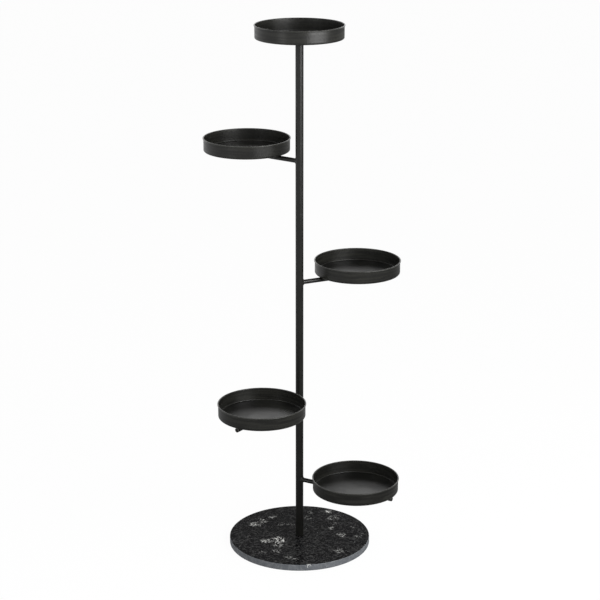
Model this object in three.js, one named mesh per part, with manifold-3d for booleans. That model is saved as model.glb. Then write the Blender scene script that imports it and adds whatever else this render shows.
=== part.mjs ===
// A five-tier plant stand: a round stone base, a tube pole in three screwed sections, four round rods welded
// to the pole, and five shallow round pans with curled rims. The top pan is bolted to the head of the pole,
// and each of the others is welded on a rod that runs on under it to just short of its far rim.
// Millimetres, +Z up. The origin is the centre of the underside, on the pole's axis. Azimuths are counted
// from +X, anticlockwise seen from above.

import * as THREE from 'three';
import { mergeVertices } from 'three/addons/utils/BufferGeometryUtils.js';
import Module from 'manifold-3d';

// ---- base ----
const baseDiameter = 350;
const stoneThickness = 16;
const stoneArris = 1.5; // radius of the eased top edge
const stoneFootChamfer = 1;
const feltThickness = 1;
const feltInset = 4; // from the stone's side to the felt's edge

// ---- pole ----
const poleDiameter = 19;
const poleWall = 1.5;
const sectionLength = 417;
const sectionCount = 3;
const tubeEndChamfer = 0.4;

// ---- threads and fasteners ----
const threadDiameter = 8;
const threadClearance = 0.3; // on the radius, between a bolt or stud and its plug
const holeClearance = 0.5; // on the radius, where a bolt passes through stone or sheet
const plugLength = 25;
const plugChamfer = 0.8;
const studLength = 40;
const boltHeadDiameter = 17;
const boltHeadHeight = 2.5;
const boltSocketWidth = 5; // across the flats of the hexagon
const boltSocketDepth = 1.8;
const baseBoltLength = 30;
const trayBoltLength = 20;
const flatWasherDiameter = 24;
const flatWasherThickness = 2;
const springWasherDiameter = 14.5;
const springWasherThickness = 2;
const springWasherSplit = 1.2; // width of the cut
const recessRim = 1.5; // on the radius, round the flat washer
const recessCover = 0.5; // between the bolt's head and the felt

// ---- arms ----
const armDiameter = 11;
const armReach = 156.5; // from the pole's axis to the pan's centre
const armTipSetback = 6; // from the pan's far rim to the rod's tip
const armEndRound = 1.2;
const poleWeldRadius = 2; // round bead where a rod meets the pole
const panWeldRadius = 2;
const panWeldLength = 22;
const panWeldSpacing = 116; // between the two beads on each side of a rod

// ---- pans ----
const panDiameter = 212; // over the curled rim
const panHeight = 32;
const panSheet = 1.2;
const panCorner = 3; // outside radius between wall and floor
const rimCurl = 3; // outside diameter of the curled rim

// ---- tiers on rods, from the lowest up: the rim's rise from the foot of the pole section that carries it
const tier1Rise = 188.5;
const tier2Rise = 401.5;
const tier3Rise = 283;
const tier4Rise = 164.5;
const tiers = [
  { section: 1, rise: tier1Rise, azimuth: -29 },
  { section: 1, rise: tier2Rise, azimuth: 235 },
  { section: 2, rise: tier3Rise, azimuth: 25.5 },
  { section: 3, rise: tier4Rise, azimuth: 144 },
];

// ---- clearances ----
const weldGap = 0.3; // between two pieces that are welded or fitted into each other
const seatGap = 0.3; // between a piece and the one that it rests on

// ---- smoothness ----
const stoneSegments = 80;
const panSegments = 48;
const tubeSegments = 32;
const rodSegments = 20;
const fastenerSegments = 16;

// ---- worked out from the sizes above ----
const baseRadius = baseDiameter / 2;
const poleRadius = poleDiameter / 2;
const boreRadius = poleRadius - poleWall;
const armRadius = armDiameter / 2;
const threadRadius = threadDiameter / 2;
const plugBoreRadius = threadRadius + threadClearance;
const holeRadius = threadRadius + holeClearance;
const recessRadius = flatWasherDiameter / 2 + recessRim;
const recessDepth = recessCover + boltHeadHeight + springWasherThickness + flatWasherThickness;
const stoneTop = feltThickness + stoneThickness;
const sectionFoot = (section) => stoneTop + (section - 1) * sectionLength;
const poleTop = sectionFoot(sectionCount + 1);
const panWallRadius = panDiameter / 2 - (rimCurl - panSheet);

const wasm = await Module();
wasm.setup();

// ---------------------------------------------------------------------------------------------------------
// Tools for shapes
// ---------------------------------------------------------------------------------------------------------

const point = (radius, height) => new THREE.Vector2(radius, height);

// Points along an arc of a profile, both ends included. Angles are in degrees, anticlockwise from outwards.
function arc(centreRadius, centreHeight, radius, from, to, steps) {
  const points = [];
  for (let i = 0; i <= steps; i += 1) {
    const angle = THREE.MathUtils.degToRad(from + ((to - from) * i) / steps);
    points.push(point(centreRadius + radius * Math.cos(angle), centreHeight + radius * Math.sin(angle)));
  }
  return points;
}

// A profile of radius and height, turned about the Z axis. It runs anticlockwise: outwards along the bottom
// and back inwards along the top.
function turned(profile, segments) {
  const geometry = new THREE.LatheGeometry(profile, segments);
  geometry.rotateX(Math.PI / 2);
  return geometry;
}

// A ring needs its profile closed on itself.
function turnedRing(profile, segments) {
  return turned([...profile, profile[0].clone()], segments);
}

// A plain round bar on the Z axis, used as a cutter.
function bar(radius, bottom, top, segments) {
  return turned([point(0, bottom), point(radius, bottom), point(radius, top), point(0, top)], segments);
}

// A closed geometry as a solid that can be cut and joined.
function solid(geometry) {
  const bare = geometry.clone();
  bare.deleteAttribute('normal');
  bare.deleteAttribute('uv');
  const merged = mergeVertices(bare, 1e-4);
  const corners = merged.index.array;
  const kept = [];
  for (let i = 0; i < corners.length; i += 3) {
    const [a, b, c] = [corners[i], corners[i + 1], corners[i + 2]];
    if (a !== b && b !== c && c !== a) kept.push(a, b, c);
  }
  const mesh = new wasm.Mesh({
    numProp: 3,
    vertProperties: merged.attributes.position.array,
    triVerts: new Uint32Array(kept),
  });
  return new wasm.Manifold(mesh);
}

// A solid back as a geometry.
function surface(body) {
  const mesh = body.getMesh();
  const geometry = new THREE.BufferGeometry();
  geometry.setAttribute('position', new THREE.BufferAttribute(mesh.vertProperties, 3));
  geometry.setIndex(new THREE.BufferAttribute(mesh.triVerts, 1));
  geometry.computeVertexNormals();
  return geometry;
}

// ---------------------------------------------------------------------------------------------------------
// Finishes
// ---------------------------------------------------------------------------------------------------------

const finish = (color, roughness, metalness) =>
  new THREE.MeshStandardMaterial({ color, roughness, metalness });
const blackPaint = () => finish('#2b2b29', 0.48, 0.1);
const blackMarble = () => finish('#1b1b1d', 0.14, 0);
const blackFelt = () => finish('#29292b', 1, 0);
const zincPlate = () => finish('#b7bac0', 0.38, 1);

const stand = new THREE.Group();

function place(parent, name, geometry, material, height = 0) {
  const mesh = new THREE.Mesh(geometry, material);
  mesh.name = name;
  mesh.position.z = height;
  parent.add(mesh);
  return mesh;
}

// ---------------------------------------------------------------------------------------------------------
// Stone base with its bolt recess, and the felt below it
// ---------------------------------------------------------------------------------------------------------

function stoneGeometry() {
  const disc = turned(
    [
      point(0, 0),
      point(baseRadius - stoneFootChamfer, 0),
      point(baseRadius, stoneFootChamfer),
      ...arc(baseRadius - stoneArris, stoneThickness - stoneArris, stoneArris, 0, 90, 3),
      point(0, stoneThickness),
    ],
    stoneSegments,
  );
  const boltHole = bar(holeRadius, -1, stoneThickness + 1, fastenerSegments);
  const recess = bar(recessRadius, -1, recessDepth, fastenerSegments);
  return surface(solid(disc).subtract(solid(boltHole)).subtract(solid(recess)));
}

const felt = bar(baseRadius - feltInset, 0, feltThickness, stoneSegments);
place(stand, 'floor_pad', felt, blackFelt());
place(stand, 'stone_base', stoneGeometry(), blackMarble(), feltThickness);

// ---------------------------------------------------------------------------------------------------------
// Bolts, washers, studs and threaded plugs
// ---------------------------------------------------------------------------------------------------------

// A flat-headed bolt with a hexagon socket. It stands on its head, with its shank upwards.
function boltGeometry(length) {
  const tip = boltHeadHeight + length;
  const headRadius = boltHeadDiameter / 2;
  const rounding = 0.3 * boltHeadHeight;
  const body = turned(
    [
      point(0, 0),
      point(headRadius - rounding, 0),
      point(headRadius, rounding),
      point(headRadius, boltHeadHeight),
      point(threadRadius, boltHeadHeight),
      point(threadRadius, tip - plugChamfer),
      point(threadRadius - plugChamfer, tip),
      point(0, tip),
    ],
    fastenerSegments,
  );
  const socketRadius = boltSocketWidth / 2 / Math.cos(Math.PI / 6);
  const socket = bar(socketRadius, -1, boltSocketDepth, 6);
  return surface(solid(body).subtract(solid(socket)));
}

function washerGeometry() {
  const outer = flatWasherDiameter / 2;
  return turnedRing(
    [
      point(holeRadius, 0),
      point(outer, 0),
      point(outer, flatWasherThickness),
      point(holeRadius, flatWasherThickness),
    ],
    fastenerSegments,
  );
}

// A square-section ring with a cut through it.
function springWasherGeometry() {
  const outer = springWasherDiameter / 2;
  const inner = threadRadius + threadClearance;
  const openingOut = springWasherSplit / 2 / outer;
  const openingIn = springWasherSplit / 2 / inner;
  const ring = new THREE.Shape();
  ring.absarc(0, 0, outer, openingOut, 2 * Math.PI - openingOut, false);
  ring.absarc(0, 0, inner, 2 * Math.PI - openingIn, openingIn, true);
  return new THREE.ExtrudeGeometry(ring, {
    depth: springWasherThickness,
    bevelEnabled: false,
    curveSegments: fastenerSegments,
  });
}

function studGeometry() {
  const half = studLength / 2;
  return turned(
    [
      point(0, -half),
      point(threadRadius - plugChamfer, -half),
      point(threadRadius, plugChamfer - half),
      point(threadRadius, half - plugChamfer),
      point(threadRadius - plugChamfer, half),
      point(0, half),
    ],
    fastenerSegments,
  );
}

// A plug that fills the end of a tube, bored for a thread, with a lead-in at both mouths.
function plugGeometry() {
  const outer = boreRadius - weldGap;
  return turnedRing(
    [
      point(plugBoreRadius + plugChamfer, 0),
      point(outer, 0),
      point(outer, plugLength),
      point(plugBoreRadius + plugChamfer, plugLength),
      point(plugBoreRadius, plugLength - plugChamfer),
      point(plugBoreRadius, plugChamfer),
    ],
    fastenerSegments,
  );
}

const washerSeat = feltThickness + recessDepth - flatWasherThickness;
const springWasherSeat = washerSeat - springWasherThickness;
const baseBoltHead = springWasherSeat - boltHeadHeight;
place(stand, 'base_washer', washerGeometry(), zincPlate(), washerSeat);
place(stand, 'base_spring_washer', springWasherGeometry(), zincPlate(), springWasherSeat);
place(stand, 'base_bolt', boltGeometry(baseBoltLength), zincPlate(), baseBoltHead);
place(stand, 'foot_plug', plugGeometry(), zincPlate(), stoneTop);
place(stand, 'top_plug', plugGeometry(), zincPlate(), poleTop - plugLength);

// ---------------------------------------------------------------------------------------------------------
// The pole: tube sections end on end, screwed together by a stud in two plugs at each joint
// ---------------------------------------------------------------------------------------------------------

function tubeGeometry() {
  return turnedRing(
    [
      point(boreRadius, 0),
      point(poleRadius - tubeEndChamfer, 0),
      point(poleRadius, tubeEndChamfer),
      point(poleRadius, sectionLength - tubeEndChamfer),
      point(poleRadius - tubeEndChamfer, sectionLength),
      point(boreRadius, sectionLength),
    ],
    tubeSegments,
  );
}

for (let section = 1; section <= sectionCount; section += 1) {
  place(stand, `pole_section_${section}`, tubeGeometry(), blackPaint(), sectionFoot(section));
}

for (let joint = 1; joint < sectionCount; joint += 1) {
  const seam = sectionFoot(joint + 1);
  place(stand, `joint_${joint}_plug_below`, plugGeometry(), zincPlate(), seam - plugLength);
  place(stand, `joint_${joint}_plug_above`, plugGeometry(), zincPlate(), seam);
  place(stand, `joint_${joint}_stud`, studGeometry(), zincPlate(), seam);
}

// ---------------------------------------------------------------------------------------------------------
// Pans: pressed from sheet, with a rounded corner at the floor and an edge curled outwards
// ---------------------------------------------------------------------------------------------------------

function panGeometry(boltHole) {
  const innerRadius = panWallRadius - panSheet;
  const curlRadius = rimCurl / 2;
  const curlCentre = innerRadius + curlRadius;
  const curlHeight = panHeight - curlRadius;
  const wallMeetsCurl = THREE.MathUtils.radToDeg(Math.acos((panWallRadius - curlCentre) / curlRadius));
  const innerCorner = panCorner - panSheet;
  const profile = [
    point(boltHole, 0),
    ...arc(panWallRadius - panCorner, panCorner, panCorner, -90, 0, 3),
    ...arc(curlCentre, curlHeight, curlRadius, -wallMeetsCurl, 0, 3),
    ...arc(curlCentre, curlHeight, curlRadius, 0, 180, 4).slice(1),
    ...arc(innerRadius - innerCorner, panCorner, innerCorner, 0, -90, 2),
    point(boltHole, panSheet),
  ];
  return boltHole > 0 ? turnedRing(profile, panSegments) : turned(profile, panSegments);
}

// ---------------------------------------------------------------------------------------------------------
// Arms: a round rod along X from the pole, its end cut to the pole's round, with a weld bead rolled round the
// cut and beads along both sides under the pan
// ---------------------------------------------------------------------------------------------------------

function rodGeometry() {
  const tip = armReach + panDiameter / 2 - armTipSetback;
  const rod = turned(
    [
      point(0, 0),
      point(armRadius, 0),
      ...arc(armRadius - armEndRound, tip - armEndRound, armEndRound, 0, 90, 3),
      point(0, tip),
    ],
    rodSegments,
  );
  rod.rotateY(Math.PI / 2);
  return rod;
}

// A ring round the rod, bent so that it lies on the pole's round.
function poleWeldGeometry() {
  const ring = new THREE.TorusGeometry(armRadius + 0.3 * poleWeldRadius, poleWeldRadius, 6, rodSegments);
  ring.rotateY(Math.PI / 2);
  const position = ring.attributes.position;
  for (let i = 0; i < position.count; i += 1) {
    const across = position.getY(i);
    const poleFace = Math.sqrt(Math.max(poleRadius ** 2 - across ** 2, 0));
    position.setX(i, position.getX(i) + poleFace);
  }
  return ring;
}

// A short bead in the corner between the rod's side and the pan, side being 1 or -1.
function panWeldGeometry(along, side) {
  const drop = armRadius - 0.6 * panWeldRadius;
  const across = Math.sqrt((armRadius + 0.25 * panWeldRadius) ** 2 - drop ** 2);
  const bead = new THREE.CapsuleGeometry(panWeldRadius, panWeldLength - 2 * panWeldRadius, 2, 6);
  bead.rotateZ(Math.PI / 2);
  bead.translate(along, side * across, drop);
  return bead;
}

function armGeometry() {
  let arm = solid(rodGeometry()).add(solid(poleWeldGeometry()));
  for (const side of [-1, 1]) {
    for (const along of [armReach - panWeldSpacing / 2, armReach + panWeldSpacing / 2]) {
      arm = arm.add(solid(panWeldGeometry(along, side)));
    }
  }
  const beadReach = armRadius + 3 * panWeldRadius;
  const abovePan = new THREE.BoxGeometry(panDiameter, 2 * beadReach, 2 * panWeldRadius);
  abovePan.translate(armReach, 0, armRadius + panWeldRadius);
  const pole = bar(poleRadius + weldGap, -3 * armDiameter, 3 * armDiameter, 2 * rodSegments);
  return surface(arm.subtract(solid(abovePan)).subtract(solid(pole)));
}

tiers.forEach(({ section, rise, azimuth }, index) => {
  const tier = new THREE.Group();
  tier.rotation.z = THREE.MathUtils.degToRad(azimuth);
  tier.position.z = sectionFoot(section) + rise - panHeight - seatGap - armRadius;
  place(tier, `arm_tier_${index + 1}`, armGeometry(), blackPaint());
  const pan = place(tier, `tray_tier_${index + 1}`, panGeometry(0), blackPaint(), armRadius + seatGap);
  pan.position.x = armReach;
  stand.add(tier);
});

// The top pan stands on the head of the pole, held by a bolt through its floor.
const topTier = tiers.length + 1;
place(stand, `tray_tier_${topTier}`, panGeometry(holeRadius), blackPaint(), poleTop);
const topBoltHead = poleTop + panSheet + seatGap + boltHeadHeight;
const topBolt = place(stand, 'top_tray_bolt', boltGeometry(trayBoltLength), zincPlate(), topBoltHead);
topBolt.rotation.x = Math.PI;

export default stand;
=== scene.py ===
# %% [markdown]
# # A tiered plant stand, dressed for a photograph
# The stand is five shallow steel pans on a slim pole, with a round black marble base. Its construction
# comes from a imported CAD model, which is loaded first and never changed: it says where every piece sits.
# This lesson builds finer pieces over it, gives each a finish, and sets up the studio.

# %% Load the construction
from math import cos, hypot, pi, radians, sin, sqrt

import bmesh
import bpy
from mathutils import Matrix, Vector


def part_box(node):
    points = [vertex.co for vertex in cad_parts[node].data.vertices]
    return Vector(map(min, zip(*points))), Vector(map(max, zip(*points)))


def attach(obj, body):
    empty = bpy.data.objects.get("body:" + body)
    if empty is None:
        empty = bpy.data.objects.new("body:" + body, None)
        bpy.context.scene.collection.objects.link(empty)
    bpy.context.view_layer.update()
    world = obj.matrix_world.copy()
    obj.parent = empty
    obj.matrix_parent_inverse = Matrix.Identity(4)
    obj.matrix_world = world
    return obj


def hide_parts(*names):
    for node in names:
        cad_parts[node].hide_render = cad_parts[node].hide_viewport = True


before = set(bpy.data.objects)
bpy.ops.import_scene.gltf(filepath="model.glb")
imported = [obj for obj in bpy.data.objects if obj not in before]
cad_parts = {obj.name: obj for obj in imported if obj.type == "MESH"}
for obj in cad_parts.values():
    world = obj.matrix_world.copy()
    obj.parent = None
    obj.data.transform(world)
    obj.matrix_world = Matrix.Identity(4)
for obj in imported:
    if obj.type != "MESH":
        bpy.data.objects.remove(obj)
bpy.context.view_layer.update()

MM = 0.001

# %% [markdown]
# ## The camera
# The stand was photographed from above its top with a long lens. A camera fitted to the outlines of the
# base, the pans and the pole stands 4.1 m in front and 1.92 m up, and looks down by 17.5 degrees. The image
# is 600 pixels square, and the lens is worked out from the focal length in pixels.

# %% Camera
IMAGE_PX = 600
FOCAL_PX = 1781.2
SENSOR_MM = 36.0
CAMERA_PLACE = (0.0, -4.0999, 1.9242)  # metres
CAMERA_DOWN, CAMERA_RIGHT = 17.456, 0.017  # degrees


def in_scene(name, data):
    """A new object of this data, linked to the scene."""
    made = bpy.data.objects.new(name, data)
    bpy.context.scene.collection.objects.link(made)
    return made


camera_data = bpy.data.cameras.new("camera")
camera_data.sensor_width = SENSOR_MM
camera_data.lens = FOCAL_PX * SENSOR_MM / IMAGE_PX
camera = in_scene("camera", camera_data)
camera.location = CAMERA_PLACE
camera.rotation_euler = (radians(90 - CAMERA_DOWN), 0.0, -radians(CAMERA_RIGHT))
bpy.context.scene.camera = camera
bpy.context.scene.view_settings.view_transform = "Standard"
print("lens, mm:", round(camera_data.lens, 2))

# %% [markdown]
# ## Measures taken from the CAD
# A finer piece has to sit where its CAD node sits. Heights and radii are therefore read from the boxes of
# the nodes wherever they can be. What a box can't tell is written as a number: how thick the sheet is, how
# far the rods reach, and which way they point.

# %% Measures
def radius_of(node):
    """Half the narrower side of an upright round node's box, so that a finer circle stays within it."""
    low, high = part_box(node)
    return min(high.x - low.x, high.y - low.y) / 2


POLE_RADIUS = radius_of("pole_section_1")
POLE_WALL = 1.5 * MM
BASE_RADIUS = radius_of("stone_base")
ROD_RADIUS = 5.5 * MM
ROD_REACH = 156.5 * MM  # from the pole's axis to the middle of a pan
TIER_AZIMUTHS = {1: -29.0, 2: 235.0, 3: 25.5, 4: 144.0}  # degrees round from +X
PAN_RADIUS = 106.0 * MM
PAN_HEIGHT = 32.0 * MM
PAN_SHEET = 1.2 * MM
CURL_RADIUS = 1.5 * MM
print("pole radius, mm:", round(POLE_RADIUS / MM, 2), " base radius, mm:", round(BASE_RADIUS / MM, 1))

# %% [markdown]
# ## A small kit for turned pieces
# Almost everything here is round: pressed pans, tube, rod, a sawn disc, bolts. Each starts as half of its
# outline, drawn as a wire of a few corners, whose corners are rounded by bevelling the vertices. A spin
# about the Z axis then makes the piece. That keeps every radius of the outline in sight, as a lathe drawing
# does.

# %% Kit for turned pieces
SAME_PLACE = 1e-7  # metres: vertices closer than this are one


def outline(bm, corners, closed=False):
    """A wire through corners of (radius, height) in millimetres, in the XZ plane."""
    verts = [bm.verts.new((r * MM, 0.0, h * MM)) for r, h in corners]
    for a, b in zip(verts, verts[1:]):
        bm.edges.new((a, b))
    if closed:
        bm.edges.new((verts[-1], verts[0]))
    return verts


def round_corner(bm, vert, size, segments):
    """Rounds one corner of a wire. size is the distance from the corner to where the round starts, in mm."""
    bmesh.ops.bevel(
        bm, geom=[vert], offset=size * MM, offset_type="OFFSET", segments=segments,
        profile=0.5, affect="VERTICES", material=-1,
    )


def arc_from(bm, vert, centre, degrees, steps):
    """Carries a wire on from its last vertex, round a centre of (radius, height) in mm. With the radius
    drawn to the right and the height up, positive degrees turn anticlockwise."""
    made = bmesh.ops.spin(
        bm, geom=[vert], cent=(centre[0] * MM, 0.0, centre[1] * MM), axis=(0.0, -1.0, 0.0),
        angle=radians(degrees), steps=steps,
    )
    return made["geom_last"][0]


def line_from(bm, vert, radius, height):
    """Carries a wire on in a straight line to (radius, height) in mm."""
    made = bmesh.ops.extrude_vert_indiv(bm, verts=[vert])["verts"][0]
    made.co = (radius * MM, 0.0, height * MM)
    return made


def spin_round(bm, steps):
    """Turns the whole wire about the Z axis, closes the poles and points the faces outwards."""
    bmesh.ops.spin(
        bm, geom=bm.verts[:] + bm.edges[:], cent=(0, 0, 0), axis=(0, 0, 1),
        angle=2 * pi, steps=steps, use_merge=True,
    )
    bmesh.ops.remove_doubles(bm, verts=bm.verts[:], dist=SAME_PLACE)
    bmesh.ops.dissolve_degenerate(bm, edges=bm.edges[:], dist=SAME_PLACE / 10)
    bmesh.ops.recalc_face_normals(bm, faces=bm.faces[:])


# %% [markdown]
# ## Where paint wears
# Paint thins and polishes on tight outside curves: the rolled rim, the tip of a rod, the end of a tube. The
# curvature of the mesh shows where these are. An attribute keeps it, and the finishes read it, so that wear
# follows the form of each piece by itself. On the black paint, the paler colour it brings is also a painted
# highlight along the rolled rims.

# %% Turn a bmesh into a finished object
WEAR_STARTS = 250.0  # convex curvature in 1/m, which is a radius of 4 mm
WEAR_FULL = 850.0
SHORTEST_STEP = 1e-5  # metres between the middles of two faces


def mark_wear(bm, most):
    """Writes 0 to most in the attribute edge_wear, by the sharpest convex curvature at each vertex."""
    layer = bm.verts.layers.float.new("edge_wear")
    middles = {face: face.calc_center_median() for face in bm.faces}
    for edge in bm.edges:
        if len(edge.link_faces) != 2:
            continue
        a, b = edge.link_faces
        bend = edge.calc_face_angle_signed(0.0) / max((middles[a] - middles[b]).length, SHORTEST_STEP)
        share = min(max((bend - WEAR_STARTS) / (WEAR_FULL - WEAR_STARTS), 0.0), 1.0)
        for vert in edge.verts:
            vert[layer] = max(vert[layer], share * most)


def finished(bm, name, materials, node, smooth_under=38, most_wear=1.0):
    """A mesh object from bm, riding on the stand, in place of a CAD node. smooth_under is in degrees."""
    mark_wear(bm, most_wear)
    mesh = bpy.data.meshes.new(name)
    bm.to_mesh(mesh)
    bm.free()
    for material in materials:
        mesh.materials.append(material)
    mesh.shade_smooth()
    mesh.set_sharp_from_angle(angle=radians(smooth_under))
    piece = in_scene(name, mesh)
    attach(piece, "root")
    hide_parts(node)
    low, high = Vector(piece.bound_box[0]), Vector(piece.bound_box[6])
    node_low, node_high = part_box(node)
    off = max(abs(v) for v in (*(low - node_low), *(high - node_high))) / MM
    print(f"{name}: {len(mesh.polygons)} faces, corners within {off:.2f} mm of {node}")
    return piece


# %% [markdown]
# ## Colour and nodes
# Colours are written as they would be picked on a screen and turned to linear light by one function. One
# more function adds a shader node with its settings, values and links, which keeps each finish short enough
# to read.

# %% Colour and nodes
NOISE, CELLS, ATTRIBUTE = "ShaderNodeTexNoise", "ShaderNodeTexVoronoi", "ShaderNodeAttribute"
MATH, VECTOR, RANGE, MIX = "ShaderNodeMath", "ShaderNodeVectorMath", "ShaderNodeMapRange", "ShaderNodeMix"
BUMP, LOW, HIGH, TO_LOW, TO_HIGH = "ShaderNodeBump", "From Min", "From Max", "To Min", "To Max"
UNDER, OVER = 6, 7  # the two colour inputs of a Mix node


def linear(hex_colour):
    """An sRGB hex colour as linear red, green, blue and alpha."""
    parts = [int(hex_colour[i : i + 2], 16) / 255 for i in (1, 3, 5)]
    return [v / 12.92 if v <= 0.04045 else ((v + 0.055) / 1.055) ** 2.4 for v in parts] + [1.0]


def add(tree, kind, inputs=None, **settings):
    """Adds a node. inputs maps a socket to a value, a hex colour, an output, or a node for its output."""
    made = tree.nodes.new(kind)
    for name, value in settings.items():
        setattr(made, name, value)
    for name, value in (inputs or {}).items():
        if isinstance(value, bpy.types.Node):
            value = next(output for output in value.outputs if output.enabled)
        if isinstance(value, bpy.types.NodeSocket):
            tree.links.new(value, made.inputs[name])
        else:
            made.inputs[name].default_value = linear(value) if isinstance(value, str) else value
    return made


def per_mm(size):
    """Scale of a pattern whose features are size millimetres across."""
    return 1000.0 / size


def new_finish(name):
    """An empty material: its tree, and its Object coordinates."""
    material = bpy.data.materials.new(name)
    material.use_nodes = True
    tree = material.node_tree
    tree.nodes.clear()
    return material, tree, add(tree, "ShaderNodeTexCoord").outputs["Object"]


def coat_with(tree, inputs):
    """Ends a material in a Principled shader with these inputs."""
    shader = add(tree, "ShaderNodeBsdfPrincipled", inputs)
    add(tree, "ShaderNodeOutputMaterial", {"Surface": shader})


# %% [markdown]
# ## Finish: black powder coat
# Powder coat is a polyester powder, sprayed dry and baked on at 200 degrees. It melts into a skin of about
# 0.08 mm with a fine orange peel and a satin gloss. The eye sees a slightly warm black with soft, broad
# highlights, a faint mottle in them, and paler, shinier paint where the form turns sharply. That paler
# colour is worn paint, and on the rolled rims it is also a painted highlight line. The peel of the
# real skin is finer than a pixel here, so it is drawn at 2.5 mm, as coarse as it needs to be to show.
#
# The pole and the rods have the plain coat. The pans have a second one, because the marks of deep drawing
# run round their walls and show through as faint streaks. Noise that is stretched sideways and not upwards
# makes such streaks, with no need to know where the axis of a pan is.

# %% Black powder coat
PEEL, GRIT, MOTTLE, DRAWN_MARK = 2.5, 0.7, 38, 4.5  # mm
PEEL_HEIGHT = 0.05 * MM
STRETCH = (0.05, 0.05, 1.0)  # a pattern becomes 20 times as wide as it is high
# The fourth colour is paler worn paint on tight curves, and also a painted highlight on the rolled rims.
PAINT_DEEP, PAINT_PALE, PAINT_ON_MARKS, PAINT_RUBBED_AND_RIM_HIGHLIGHT = "#080807", "#0f0f0c", "#1b1b18", "#3e3e3b"
SATIN = {TO_LOW: 0.34, TO_HIGH: 0.41}  # roughness
RUBBED_POLISH, MARK_POLISH = 0.12, 0.08  # taken off the roughness
PAINT_IOR = 1.34  # polyester has about 1.5, and the matting agent in the coat weakens the mirror


def powder_coat(name, marks_shown):
    """marks_shown is how strongly the marks of drawing show, from 0 to 1."""
    material, tree, where = new_finish(name)
    round_the_wall = add(tree, VECTOR, {0: where, 1: STRETCH}, operation="MULTIPLY")
    marks = add(tree, NOISE, {"Vector": round_the_wall, "Scale": per_mm(DRAWN_MARK), "Detail": 3.0})
    streaks = add(tree, RANGE, {"Value": marks, LOW: 0.45, HIGH: 0.6, TO_HIGH: marks_shown})
    mottle = add(tree, NOISE, {"Vector": where, "Scale": per_mm(MOTTLE), "Detail": 5.0, "Roughness": 0.6})
    peel = add(tree, NOISE, {"Vector": where, "Scale": per_mm(PEEL), "Detail": 3.0})
    grit = add(tree, NOISE, {"Vector": where, "Scale": per_mm(GRIT), "Detail": 2.0})
    wear = add(tree, ATTRIBUTE, attribute_name="edge_wear").outputs["Fac"]
    rubbed = add(tree, MATH, {0: wear, 1: mottle}, operation="MULTIPLY")
    body = add(tree, MIX, {"Factor": mottle, UNDER: PAINT_DEEP, OVER: PAINT_PALE}, data_type="RGBA")
    drawn = add(tree, MIX, {"Factor": streaks, UNDER: body, OVER: PAINT_ON_MARKS}, data_type="RGBA")
    # Paler on tight curves: worn paint, and on the rims a painted highlight as well.
    colour = add(tree, MIX, {"Factor": rubbed, UNDER: drawn, OVER: PAINT_RUBBED_AND_RIM_HIGHLIGHT}, data_type="RGBA")
    satin = add(tree, RANGE, {"Value": mottle, LOW: 0.3, HIGH: 0.7, **SATIN})
    polish = add(tree, RANGE, {"Value": rubbed, HIGH: 0.6, TO_HIGH: RUBBED_POLISH})
    shine = add(tree, RANGE, {"Value": streaks, TO_HIGH: MARK_POLISH})
    smoother = add(tree, MATH, {0: polish, 1: shine}, operation="ADD")
    roughness = add(tree, MATH, {0: satin, 1: smoother}, operation="SUBTRACT")
    height = add(tree, MATH, {0: peel, 1: grit}, operation="ADD")
    skin = add(tree, BUMP, {"Height": height, "Strength": 0.35, "Distance": PEEL_HEIGHT})
    coat_with(tree, {"Base Color": colour, "Roughness": roughness, "Normal": skin, "IOR": PAINT_IOR})
    return material


black_paint = powder_coat("black_satin_powder_coat", 0.0)
pan_paint = powder_coat("black_powder_coat_on_drawn_sheet", 0.9)
print("paint:", black_paint.name, "and", pan_paint.name)

# %% [markdown]
# ## Finish: black marble
# The base is a black limestone marble with white calcite veins. Its top is polished with ever finer grit,
# and its side is only honed, so that the side scatters light and looks mid grey. Three things make the
# stone: a ground of clouds, wisps and flecks, long hair veins that break off, and knots of crackle where
# the rock once shattered and healed. The knots are placed one by one, because each slab has them somewhere
# of its own.

# %% Patterns in the marble
# x, y and radius in millimetres, then strength
VEIN_KNOTS = [
    (-114, 62, 20, 1.0), (-94, 78, 20, 0.8), (-70, 104, 13, 0.7),
    (-54, -34, 26, 1.0), (-84, -40, 15, 1.0), (-52, -64, 18, 0.7), (-56, -98, 18, 0.45),
    (-46, 58, 14, 0.5), (-22, 58, 12, 0.6), (26, 132, 13, 0.4), (20, 100, 13, 0.4),
    (74, 138, 13, 0.9), (88, 100, 22, 0.42), (90, 66, 16, 0.36), (80, 40, 10, 0.8), (106, -2, 17, 0.95),
    (100, -96, 20, 0.4), (150, -6, 19, 0.45), (138, 38, 11, 0.4), (20, -172, 10, 1.0), (-121, -16, 13, 0.4),
    (-146, -66, 11, 0.3), (-91, -106, 13, 0.3), (-24, -130, 20, 0.22), (-8, -142, 12, 0.4),
]
KNOT_HEIGHT = 15  # mm, a little under the top of the stone
KNOT_HEART = 0.3  # share of a knot's radius within which it has its full strength


def stirred(tree, place, feature, reach):
    """A place moved about by noise with features of this size, by up to reach, both in mm."""
    noise = add(tree, NOISE, {"Vector": place, "Scale": per_mm(feature), "Detail": 3.0}).outputs["Color"]
    either_way = add(tree, VECTOR, {0: noise, 1: (0.5, 0.5, 0.5)}, operation="SUBTRACT")
    push = add(tree, VECTOR, {0: either_way, "Scale": 2 * reach * MM}, operation="SCALE")
    return add(tree, VECTOR, {0: place, 1: push}, operation="ADD")


def scattered(tree, place, size, low, high):
    """Patches of about size mm: 1 where the noise is above high, and 0 where it is below low."""
    noise = add(tree, NOISE, {"Vector": place, "Scale": per_mm(size), "Detail": 2.0})
    return add(tree, RANGE, {"Value": noise, LOW: low, HIGH: high}, interpolation_type="SMOOTHSTEP")


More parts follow.
